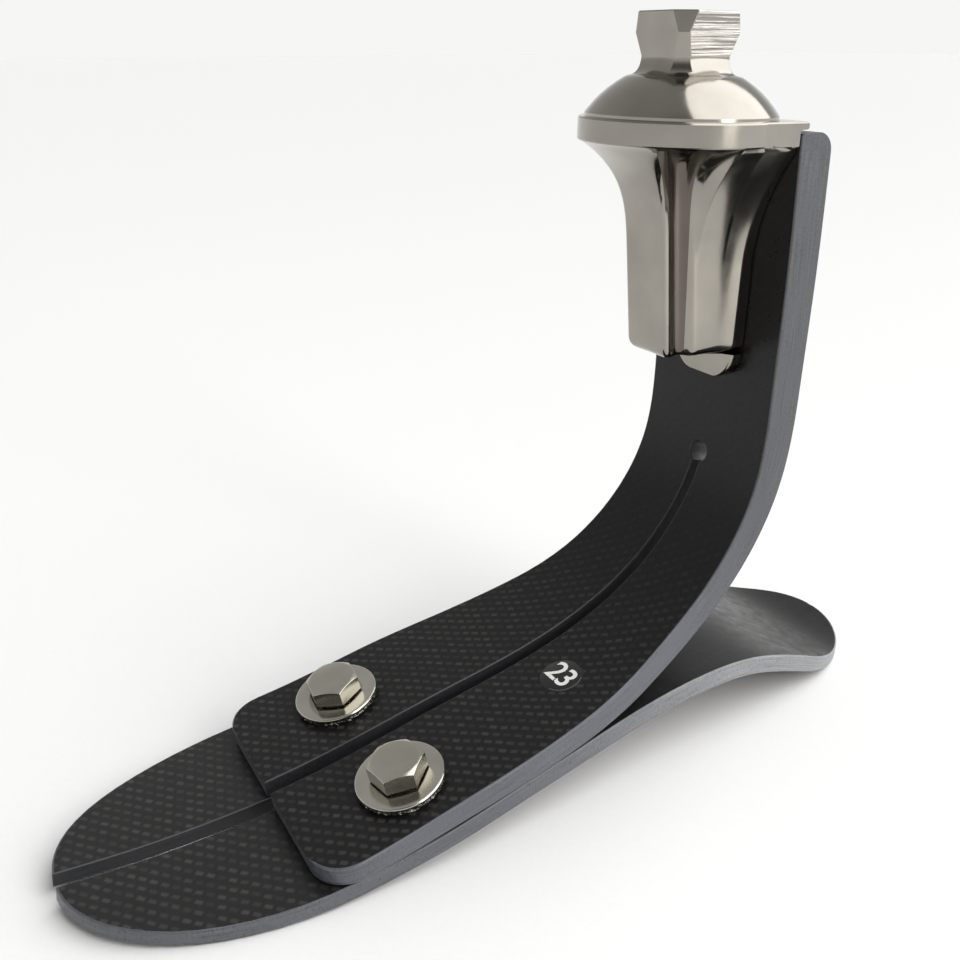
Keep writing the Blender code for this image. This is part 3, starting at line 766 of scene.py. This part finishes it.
def loft(name, rings, place, materials, closed=False, sharp=30, zone=None):
    """Skin a stack of equal rings given as millimetre points in the frame of place.

    A closed stack joins its last ring to its first; any other stack has both ends capped.
    """
    skin = Skin(name)
    skin.place = place
    loops = [[skin.vert(p) for p in ring] for ring in rings]
    pairs = list(zip(range(len(loops)), range(1, len(loops))))
    if closed:
        pairs.append((len(loops) - 1, 0))
    size = len(loops[0])
    for a, b in pairs:
        for i in range(size):
            j = (i + 1) % size
            index = zone(a, i) if zone else 0
            skin.face([loops[a][i], loops[a][j], loops[b][j], loops[b][i]], None, index)
    if not closed:
        skin.face(loops[0][::-1], None, 0, smooth=False)
        skin.face(loops[-1], None, 0, smooth=False)
    return skin.finish(materials, sharp=sharp)


def circle(radius, z, count):
    turn = 2 * math.pi / count
    return [(radius * math.cos(i * turn), radius * math.sin(i * turn), z) for i in range(count)]


HEX_COUNT = 72
WASHER_COUNT = 120
SLEEVE_COUNT = 96
HEX_FLATS = 12.0
HEX_HEIGHT = 4.5
HEX_TURNS = {"left": math.radians(40.0), "right": math.radians(24.0)}
UNDER_WASHER_THICK = 0.9
WASHER_THICK = 1.0
GAP = 0.3
HEX_CHAMFER = math.tan(math.radians(30))
SHANK_RADIUS = 3.85
TIP_CHAMFER = 0.9
THREAD_PITCH = 0.62
THREAD_DEPTH = 0.28
LOWER_WASHER_RADIUS = 10.5
UPPER_WASHER_RADIUS = 10.7
WASHER_BORE = 4.35
BORE_CHAMFER = 0.15
WASHER_LOWER_EDGE = 0.3
WASHER_UPPER_EDGE = 0.5
REAR_WASHER_THICK = 1.4
REAR_HEAD_BASE = 2.0
REAR_BOLT_LENGTH = 22.0


def hex_points(height_of, turn, shrink=0.0):
    """Hexagon outline at the height that height_of gives for each point's reach."""
    points = []
    for i in range(HEX_COUNT):
        angle = 2 * math.pi * i / HEX_COUNT
        offset = (angle + math.pi / 6) % (math.pi / 3) - math.pi / 6
        reach = (HEX_FLATS / 2 - shrink) / math.cos(offset)
        x, y = reach * math.cos(angle + turn), reach * math.sin(angle + turn)
        points.append((x, y, height_of(reach)))
    return points


def build_bolt(name, place, base, length, node, turn=0.0):
    """Hex bolt whose head stands on height base: conical chamfer, flat top, ridged shank and tip."""
    disc = HEX_FLATS / 2 * 0.96
    top = base + HEX_HEIGHT
    tip = base - length

    def edge(reach):
        return top - max(reach - disc, 0.0) * HEX_CHAMFER

    def turned_circle(radius, z):
        return turned_ring(circle(radius, z, HEX_COUNT), turn)

    rings = [turned_circle(SHANK_RADIUS - TIP_CHAMFER, tip), turned_circle(SHANK_RADIUS, tip + TIP_CHAMFER)]
    for i in range(int((length - 3.0) / THREAD_PITCH)):
        z = tip + 1.0 + i * THREAD_PITCH
        rings.append(turned_circle(SHANK_RADIUS, z))
        rings.append(turned_circle(SHANK_RADIUS - THREAD_DEPTH, z + THREAD_PITCH / 2))
    rings += [turned_circle(SHANK_RADIUS, base), turned_circle(disc, base),
              hex_points(lambda r: base + 0.12, turn), hex_points(lambda r: edge(r) - 0.06, turn),
              hex_points(edge, turn, 0.07)]
    for i in range(4):
        t = math.pi / 2 * i / 3
        rings.append(turned_circle(disc - 0.15 * math.sin(t), top - 0.05 + 0.05 * math.sin(t)))
    rings.append(turned_circle(disc * 0.5, top))
    obj = loft(name, rings, place, [BOLT_METAL], sharp=26)
    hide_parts(node)


def turned_ring(ring, angle):
    c, s = math.cos(angle), math.sin(angle)
    return [(x * c - y * s, x * s + y * c, z) for x, y, z in ring]


def build_washer(name, place, radius, base, thick, materials, node, rough_edge=False):
    """Flat washer with rounded outer edges; a second material goes on its outer wall."""
    bore, low, high = WASHER_BORE + BORE_CHAMFER, WASHER_LOWER_EDGE, WASHER_UPPER_EDGE
    profile = [(WASHER_BORE, base + BORE_CHAMFER), (bore, base), (radius - low, base)]
    first = len(profile)
    for i in range(5):
        t = math.pi / 2 * i / 4
        profile.append((radius - low + low * math.sin(t), base + low - low * math.cos(t)))
    for i in range(7):
        t = math.pi / 2 * i / 6
        profile.append((radius - high + high * math.cos(t), base + thick - high + high * math.sin(t)))
    last = len(profile) - 1
    profile += [(bore, base + thick), (WASHER_BORE, base + thick - BORE_CHAMFER)]
    rings = [circle(r, z, WASHER_COUNT) for r, z in profile]
    if rough_edge:
        for k in range(first, last):
            rings[k] = [rough_point(p, k) for p in rings[k]]
    edge = range(first - 1, last - 1)
    obj = loft(name, rings, place, materials, closed=True, sharp=50,
               zone=(lambda a, i: 1 if a in edge else 0) if len(materials) > 1 else None)
    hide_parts(node)


def rough_point(p, k):
    """Small nicks around a washer's edge."""
    angle = math.atan2(p[1], p[0])
    nick = 0.10 * math.sin(23 * angle + k) + 0.08 * math.sin(41 * angle + 2.3 * k)
    nick += 0.05 * math.sin(67 * angle)
    scale = 1 + (nick - 0.12) / LOWER_WASHER_RADIUS
    return (p[0] * scale, p[1] * scale, p[2])


def build_sleeve(side, place, depth):
    """Flanged sleeve nut let into the sole from below."""
    low = -depth
    profile = [(3.98, low + 0.3), (4.3, low), (8.2, low), (8.6, low + 0.4), (8.6, low + 1.5),
               (5.2, low + 1.5), (5.2, -1.1), (4.95, -0.8), (4.3, -0.8), (3.98, -1.1)]
    rings = [circle(r, z, SLEEVE_COUNT) for r, z in profile]
    obj = loft("sleeve_" + side, rings, place, [PLAIN_METAL], closed=True)
    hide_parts("sleeve_nut_" + side)


def build_fasteners():
    depth = stack_depth()
    for side, x in (("left", BOLT_X), ("right", -BOLT_X)):
        place = forefoot_place(x)
        upper_base = 2 * GAP + UNDER_WASHER_THICK
        head_base = upper_base + WASHER_THICK + GAP
        build_washer("lower_washer_" + side, place, LOWER_WASHER_RADIUS, GAP, UNDER_WASHER_THICK,
                     [PLAIN_METAL, ROUGH_EDGE], "under_washer_" + side, rough_edge=True)
        build_washer("upper_washer_" + side, place, UPPER_WASHER_RADIUS, upper_base, WASHER_THICK,
                     [WASHER_METAL], "washer_" + side)
        build_bolt("hex_bolt_" + side, place, head_base, depth + head_base - 0.6, "forefoot_bolt_" + side,
                   HEX_TURNS[side])
        build_sleeve(side, place, depth)
    for label, z in zip(("lower", "upper"), ANKLE_BOLT_Z):
        place = ankle_bolt_place(z)
        build_washer("back_washer_" + label, place, UPPER_WASHER_RADIUS, GAP, REAR_WASHER_THICK,
                     [PLAIN_METAL], "rear_washer_" + label)
        build_bolt("back_bolt_" + label, place, REAR_HEAD_BASE, REAR_BOLT_LENGTH, "rear_bolt_" + label)


# ---------------------------------------------------------------- pyramid casting

FLANGE_RADIUS = 23.4
FLANGE_TOP_Z = 154.6
FLANGE_BOTTOM_Z = 149.4
LIP_BOTTOM_Z = 153.0
DOME_RADIUS = 22.0
BLOCK_HALF = 21.8
BLOCK_BACK_Y = 19.5
BODY_BOTTOM_Z = 99.2
TONGUE_BOTTOM_Z = 91.7
TONGUE_HALF = 10.6
TONGUE_THICK = 3.4
TONGUE_CORNER = 7.4
FLARE_START_Z = 120.5
PYRAMID_SIDE = 19.2
PYRAMID_TOP_Z = 176.6
PYRAMID_SHOULDER_Z = 172.2
PYRAMID_WAIST_Z = 167.5
PYRAMID_TAPER = 0.17
SIDE_COUNT = 72
FLAT_FROM = 0.28
FLAT_TO = 0.72
# Points RECESS_FROM to BULGE_FROM of each body half-ring below the flange (the flute) take the painted dark
# reflection.
RECESS_FROM = 15
BULGE_FROM = 31
REAR_SIDE_COUNT = 8
REAR_COUNT = 10
HALF_COUNT = SIDE_COUNT + REAR_SIDE_COUNT + REAR_COUNT
DOME_CENTRE_Z = 139.4
DOME_SPHERE_RADIUS = 27.2
DOME_STEPS = (22.0, 21.75, 21.4, 20.9, 20.2, 19.4, 18.5, 17.5,
              16.5, 15.5, 14.6, 13.8, 13.0)
WAIST_FILLET = 4.2
WAIST_STEPS = 12
BACK_CHAMFER = 0.9
# (rise above the lower end, how far the outline is drawn in) of the rounded lower ends
TONGUE_END = ((0.0, 0.9), (0.08, 0.55), (0.3, 0.25), (0.7, 0.06), (1.2, 0.0), (2.0, 0.0), (3.2, 0.0),
              (4.6, 0.0), (6.2, 0.0), (7.2, 0.0))
BODY_END = ((0.0, 2.6), (0.15, 1.8), (0.6, 0.95), (1.3, 0.35), (2.1, 0.08), (2.8, 0.0))
MEET = math.asin(math.sqrt(FLANGE_RADIUS ** 2 - BLOCK_HALF ** 2) / FLANGE_RADIUS)


def face_in_casting():
    """Heights and depths of the upper spring's front face in the casting's own frame."""
    inverse = CASTING.inverted()
    points = [inverse @ Vector((0, *ANKLE.at(s)[0])) for s in np.linspace(0.45 * ANKLE.length, 0, 120)]
    return [p.z for p in points], [p.y for p in points]


FACE_Z, FACE_Y = face_in_casting()


def body_back(z):
    return float(np.interp(z, FACE_Z, FACE_Y)) - 0.3


def rest_of(side_end, wide, back, chamfer=0.0):
    """Straight side and rear face that close a half outline after its shaped part."""
    x0, y0 = side_end
    corner = back - chamfer
    rest = []
    for i in range(1, REAR_SIDE_COUNT + 1):
        t = i / REAR_SIDE_COUNT
        rest.append((x0 + (wide - x0) * min(t * 1.6, 1.0), y0 + (corner - y0) * t))
    for i in range(1, REAR_COUNT + 1):
        t = i / REAR_COUNT
        rest.append(((wide - chamfer) * (1 - t) if i > 1 or not chamfer else wide - chamfer, back))
    return rest


def rim_bearing(v):
    """Bearing on the flange, from -90 degrees at the front, of the outline point at share v."""
    marks = (0.0, 0.195, 0.476, 1.0)
    bearings = (-90.0, -50.0, -5.0, math.degrees(MEET))
    return math.radians(float(np.interp(v, marks, bearings)))


def rim_half(radius=FLANGE_RADIUS, wide=BLOCK_HALF, back=BLOCK_BACK_Y, chamfer=0.0):
    half = []
    for i in range(SIDE_COUNT + 1):
        angle = rim_bearing(i / SIDE_COUNT)
        x = min(radius * math.cos(angle), wide if angle > 0.2 else radius)
        half.append((x, radius * math.sin(angle)))
    return half + rest_of(half[-1], wide, back, chamfer)


def side_curve(z):
    """Front rib, flute and wing of the casting, below the flare: SIDE_COUNT + 1 points."""
    front = -4.5 - 0.12 * (z - BODY_BOTTOM_Z)
    guide = [(6.3, front), (7.0, front + 0.3), (7.3, front + 1.0), (6.7, front + 2.8), (6.35, front + 4.6),
             (6.9, front + 5.9), (8.55, front + 7.2), (9.15, front + 9.5), (9.5, front + 13.5), (10.25, 13.2),
             (TONGUE_HALF, 14.4)]
    curve = Curve(guide)
    lead = 10
    half = [(6.3 * i / lead, front) for i in range(lead)]
    for i in range(SIDE_COUNT + 1 - lead):
        pos, _ = curve.at(curve.length * i / (SIDE_COUNT - lead))
        half.append((float(pos[0]), float(pos[1])))
    return half


def flare(v, z):
    """How far the outline at share v of its length has spread towards the flange at height z."""
    marks = (0.0, 0.18, 0.225, 0.38, 0.52, 1.0)
    power = float(np.interp(v, marks, (4.4, 4.4, 9.5, 9.5, 2.4, 2.0)))
    reach = float(np.interp(v, marks, (29.3, 29.3, 31.0, 31.0, 29.0, 28.9)))
    return min(max(z - FLARE_START_Z, 0.0) / reach, 1.0) ** power


def body_half(z, shrink=0.0):
    low, rim = side_curve(z), rim_half()
    half = []
    for i in range(SIDE_COUNT + 1):
        v = i / SIDE_COUNT
        part = flare(v, z)
        hold = max(0.0, (v - 0.72) / 0.28)
        x = low[i][0] + (rim[i][0] - low[i][0]) * part
        y = low[i][1] + (rim[i][1] - low[i][1]) * part * (1 - hold)
        half.append((x * (1 - shrink / 9.0), y + shrink * (1 - v)))
    wide = half[-1][0]
    return half + rest_of(half[-1], wide, body_back(z))


def tongue_half(z, shrink=0.0):
    wide = TONGUE_HALF
    left = min(TONGUE_BOTTOM_Z + TONGUE_CORNER - z, TONGUE_CORNER)
    if left > 0:
        wide -= TONGUE_CORNER - math.sqrt(max(TONGUE_CORNER ** 2 - left ** 2, 0.0))
    back = body_back(z)
    front = back - TONGUE_THICK + shrink
    edge = 0.9
    half = []
    for i in range(SIDE_COUNT + 1):
        t = i / SIDE_COUNT
        if t < 0.8:
            half.append(((wide - edge) * t / 0.8, front))
        else:
            turn = (t - 0.8) / 0.2 * math.pi / 2
            half.append((wide - edge + edge * math.sin(turn), front + edge - edge * math.cos(turn)))
    return half + rest_of(half[-1], wide, back)


def octagon_half(side, corner):
    """Square with cut corners; every ring keeps the same share of points on each edge."""
    h = side / 2
    marks = [(0.0, (0.0, -h)), (0.22, (h - corner, -h)), (FLAT_FROM, (h, -h + corner)),
             (FLAT_TO, (h, h - corner)), (0.78, (h - corner, h)), (1.0, (0.0, h))]
    cuts = [round(m[0] * HALF_COUNT) for m in marks]
    half = []
    for k in range(len(marks) - 1):
        (_, a), (_, b) = marks[k], marks[k + 1]
        steps = cuts[k + 1] - cuts[k]
        for i in range(steps):
            t = i / steps
            half.append((a[0] + (b[0] - a[0]) * t, a[1] + (b[1] - a[1]) * t))
    half.append(marks[-1][1])
    return half


def round_half(radius, t=1.0):
    """Circle whose points move from the flange outline's bearings (t = 0) to the pyramid's (t = 1)."""
    halves = (rim_half(), octagon_half(16.0, 2.4))
    flange, pyramid = ([math.atan2(x, -y) for x, y in half] for half in halves)
    turns = [a + (b - a) * t for a, b in zip(flange, pyramid)]
    return [(radius * math.sin(turn), -radius * math.cos(turn)) for turn in turns]


def blend(a, b, t):
    return [(p[0] + (q[0] - p[0]) * t, p[1] + (q[1] - p[1]) * t) for p, q in zip(a, b)]


def dome_height(radius):
    """Spherical dome over the flange."""
    return DOME_CENTRE_Z + math.sqrt(DOME_SPHERE_RADIUS ** 2 - radius ** 2)


def casting_rings():
    rings, zones = [], []

    def add(half, z, zone=0):
        full = half + [(-x, y) for x, y in half[-2:0:-1]]
        rings.append([(x, y, z) for x, y in full])
        zones.append(zone)

    for rise, shrink in TONGUE_END:
        z = TONGUE_BOTTOM_Z + rise
        add(tongue_half(z, shrink), z)
    # Zone 2 marks the body rings whose flute gets the painted dark reflection.
    for rise, shrink in BODY_END:
        z = BODY_BOTTOM_Z + rise
        add(body_half(z, shrink), z, 2)
    z = BODY_BOTTOM_Z + 4.0
    while z < 117.0:
        add(body_half(z), z, 2)
        z += 2.5
    while z < FLANGE_BOTTOM_Z - 0.4:
        add(body_half(z), z, 2)
        z += 0.8 if z < 144 else 0.45
    seat = body_back(FLANGE_BOTTOM_Z)
    under_rim = rim_half(radius=FLANGE_RADIUS - 0.5, back=seat)
    add(blend(body_half(FLANGE_BOTTOM_Z - 0.2), under_rim, 0.6), FLANGE_BOTTOM_Z - 0.1)
    add(rim_half(radius=FLANGE_RADIUS - 0.3, back=seat), FLANGE_BOTTOM_Z)
    add(rim_half(back=seat), FLANGE_BOTTOM_Z + 0.3)
    add(rim_half(back=body_back(151.0)), LIP_BOTTOM_Z - 0.2)
    add(rim_half(chamfer=BACK_CHAMFER, back=BLOCK_BACK_Y - 0.3), LIP_BOTTOM_Z)
    add(rim_half(chamfer=BACK_CHAMFER), LIP_BOTTOM_Z + 0.3)
    add(rim_half(chamfer=BACK_CHAMFER), FLANGE_TOP_Z - 0.35)
    add([(x * 0.988, y * 0.988) for x, y in rim_half(chamfer=BACK_CHAMFER)], FLANGE_TOP_Z)
    add(round_half(DOME_RADIUS + 0.3, 0.0), FLANGE_TOP_Z)
    add(round_half(DOME_RADIUS + 0.02, 0.0), FLANGE_TOP_Z + 0.2)
    for radius in DOME_STEPS:
        t = min(max((21.4 - radius) / 7.4, 0.0), 1.0)
        add(round_half(radius, t * t * (3 - 2 * t)), dome_height(radius))
    waist = PYRAMID_SIDE - 2 * PYRAMID_TAPER * (PYRAMID_TOP_Z - PYRAMID_WAIST_Z)
    shoulder = PYRAMID_SIDE - 2 * PYRAMID_TAPER * (PYRAMID_TOP_Z - PYRAMID_SHOULDER_Z)
    for i in range(WAIST_STEPS + 1):
        turn = math.radians(68) * (1 - i / WAIST_STEPS)
        out = WAIST_FILLET * (1 - math.cos(turn))
        ring = octagon_half(waist + 2 * out, 2.4 + 1.1 * out)
        z = PYRAMID_WAIST_Z - WAIST_FILLET * math.sin(turn)
        t = 0.55 * (1 - i / WAIST_STEPS) ** 1.5
        reach = waist / 2 + out + 1.0
        add(blend(ring, round_half(reach), t), z, 1 if i == WAIST_STEPS else 0)
    add(octagon_half(shoulder, 1.65), PYRAMID_SHOULDER_Z, 1)
    add(octagon_half(PYRAMID_SIDE, 3.75), PYRAMID_TOP_Z - 0.25, 1)
    add(octagon_half(PYRAMID_SIDE - 0.45, 3.65), PYRAMID_TOP_Z, 0)
    return rings, zones


def build_casting():
    rings, zones = casting_rings()

    def finish(a, i):
        """0 polished, 1 milled (the pyramid's side flats), 2 darker metal painted into the flute and the
        pocket under the flange as a painted dark reflection.
        """
        k = i if i < HALF_COUNT else 2 * HALF_COUNT - 1 - i
        if zones[a] == 1 and FLAT_FROM <= k / HALF_COUNT < FLAT_TO:
            return 1
        if zones[a] == 2 and RECESS_FROM <= k < BULGE_FROM:
            return 2
        return 0

    obj = loft("casting", rings, CASTING, [CHROME, MILLED, RECESS_PAINTED_REFLECTION], sharp=24, zone=finish)
    cut_holes(obj, [(ankle_bolt_place(z), BOLT_HOLE, -26.0, 3.0) for z in ANKLE_BOLT_Z])
    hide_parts("pyramid_adapter")


# ---------------------------------------------------------------- size label

LABEL_COUNT = 96
DIGIT_SIZE = 8.6
DIGIT_RISE = 0.13


def build_label():
    pos, tangent = ANKLE.at(ANKLE.where(0, LABEL_Y))
    place = frame_from((LABEL_X, *pos), (0, *normal_of(tangent, (0.0, 1.0))))
    profile = ((5.6, 0.02), (5.62, 0.06), (5.55, 0.1))
    disc = loft("label_disc", [circle(r, z, LABEL_COUNT) for r, z in profile], place, [LABEL_BLACK])
    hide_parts("size_label")
    arc = [math.radians(a) for a in range(-75, 41, 3)]
    rings = []
    for a in arc:
        c, s = math.cos(a), math.sin(a)
        rings.append([(r * c, r * s, z) for r, z in ((5.2, 0.09), (5.2, 0.13), (5.07, 0.13), (5.07, 0.09))])
    line = loft("label_line", rings, place, [LABEL_GREY])
    text = bpy.data.curves.new("label_text", "FONT")
    text.body = "23"
    text.size = DIGIT_SIZE * MM
    text.space_character = 0.92
    text.align_x = "CENTER"
    text.align_y = "CENTER"
    text.extrude = 0.02 * MM
    text.offset = 0.10 * MM
    holder = bpy.data.objects.new("label_text_source", text)
    bpy.context.scene.collection.objects.link(holder)
    bpy.context.view_layer.update()
    mesh = bpy.data.meshes.new_from_object(holder.evaluated_get(bpy.context.evaluated_depsgraph_get()))
    bpy.data.objects.remove(holder)
    metres = place.copy()
    metres.translation = world(*place.translation)
    mesh.transform(metres @ Matrix.Translation((-0.3 * MM, 0, DIGIT_RISE * MM)))
    mesh.materials.clear()
    mesh.materials.append(LABEL_WHITE)
    digits = new_object("label_digits", mesh)


# ---------------------------------------------------------------- studio

def add_area(name, centre, target, size, watts, tone):
    data = bpy.data.lights.new(name, "AREA")
    data.shape = "RECTANGLE"
    data.size, data.size_y = size
    data.energy = watts
    data.color = tone
    light = bpy.data.objects.new(name, data)
    bpy.context.scene.collection.objects.link(light)
    aim = (Vector(target) - Vector(centre)).normalized()
    light.rotation_euler = aim.to_track_quat("-Z", "Y").to_euler()
    light.location = centre


FLOOR_REACH = 12000.0
FLOOR_Z = -0.05


def build_studio():
    skin = Skin("floor")
    around = ((-1, -1), (1, -1), (1, 1), (-1, 1))
    skin.face([skin.vert((x * FLOOR_REACH, y * FLOOR_REACH, FLOOR_Z)) for x, y in around])
    mesh = bpy.data.meshes.new("floor")
    skin.bm.to_mesh(mesh)
    skin.bm.free()
    mesh.materials.append(plain_look("floor_paint", (0.86, 0.86, 0.86), 0.6, 0.0, 0.985))
    floor = new_object("floor", mesh, body=None)
    light_world()
    add_sun("soft_sky_light", (0.35, 0.6, 0.72), 80.0, 3.05)
    add_area("window", (1.15, 0.35, 0.45), (0.0, 0.02, 0.09), (0.35, 0.7), 5.0, (1.0, 0.96, 0.9))
    bpy.context.scene.view_settings.view_transform = "Standard"


def add_sun(name, towards, angle, strength):
    data = bpy.data.lights.new(name, "SUN")
    data.angle = math.radians(angle)
    data.energy = strength
    light = bpy.data.objects.new(name, data)
    bpy.context.scene.collection.objects.link(light)
    light.rotation_euler = Vector(towards).to_track_quat("Z", "Y").to_euler()


SKY_STOPS = ((0.0, 0.92), (0.06, 0.92), (0.30, 0.54), (0.5, 0.5), (1.0, 0.4))
DIM_SIDE = (0.80, -0.55, 0.24)
DIM_SHARE = 0.7


def light_world():
    """Studio walls: pale at the horizon and dimmer above, with one dimmer side."""
    data = bpy.data.worlds.new("studio")
    bpy.context.scene.world = data
    data.use_nodes = True
    wires = Wiring(data.node_tree)
    coord = wires.node("ShaderNodeTexCoord").outputs["Generated"]
    split = wires.node("ShaderNodeSeparateXYZ")
    wires.link(coord, split.inputs[0])
    height = split.outputs[2]
    ramp = wires.node("ShaderNodeValToRGB")
    while len(ramp.color_ramp.elements) < len(SKY_STOPS):
        ramp.color_ramp.elements.new(0.5)
    for element, (place, tone) in zip(ramp.color_ramp.elements, SKY_STOPS):
        element.position = place
        element.color = (tone, tone, tone * 0.985, 1.0)
    wires.link(height, ramp.inputs[0])
    towards = wires.node("ShaderNodeVectorMath", operation="DOT_PRODUCT")
    towards.inputs[1].default_value = Vector(DIM_SIDE).normalized()
    wires.link(coord, towards.inputs[0])
    dim = wires.span(towards.outputs["Value"], 0.35, 0.9, 0.0, DIM_SHARE)
    above = wires.span(height, 0.18, 0.5, 0.0, 1.0)
    back = wires.tree.nodes["Background"]
    wires.link(ramp.outputs[0], back.inputs["Color"])
    strength = wires.math("SUBTRACT", 1.0, wires.math("MULTIPLY", dim, above))
    wires.link(strength, back.inputs["Strength"])


add_camera()
build_ankle_spring()
build_sole_spring()
build_casting()
build_fasteners()
build_label()
build_studio()
